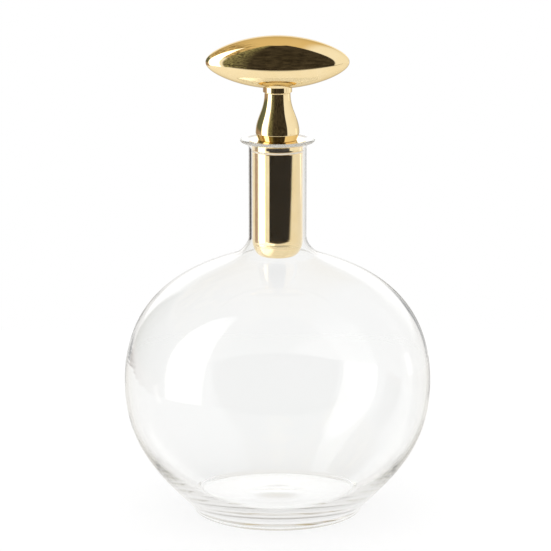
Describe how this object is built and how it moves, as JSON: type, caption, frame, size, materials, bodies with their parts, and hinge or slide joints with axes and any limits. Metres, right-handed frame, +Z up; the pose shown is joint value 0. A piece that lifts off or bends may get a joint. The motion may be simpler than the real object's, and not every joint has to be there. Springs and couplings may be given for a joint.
{
  "type": "decanter",
  "caption": "Round clear glass decanter with a straight neck, flared lip and thick foot, closed by a long polished metal stopper with an oblong knob.",
  "frame": {"origin": "middle of the resting ring under the foot, on the surface that the decanter stands on", "axes": "+Z up along the neck's axis, on which the stopper lifts and turns; X along the knob's long axis; -Y towards the viewer of the picture"},
  "size_m": [0.16, 0.16, 0.2511],
  "materials": {
    "clear_glass": "clear fire-polished",
    "clear_silicone": "translucent satin",
    "polished_brass": "mirror polished",
    "plated_steel": "zinc plated"
  },
  "bodies": {
    "flask": {"glass_flask": "clear_glass"},
    "seal": {"seal_ring": "clear_silicone"},
    "stopper": {"stopper_knob": "polished_brass", "stopper_stem": "polished_brass", "stopper_collar": "polished_brass", "plug_cup": "polished_brass", "tie_rod": "plated_steel", "clamp_washer": "plated_steel", "clamp_nut": "plated_steel"}
  },
  "joints": [
    {"name": "stopper_lift", "type": "slide", "parent": "flask", "child": "seal", "axis": [0, 0, 1], "range_m": [0, 0.08]},
    {"name": "stopper_turn", "type": "hinge", "parent": "seal", "child": "stopper", "pos_m": [0, 0, 0.1924], "axis": [0, 0, 1], "continuous": true}
  ]
}
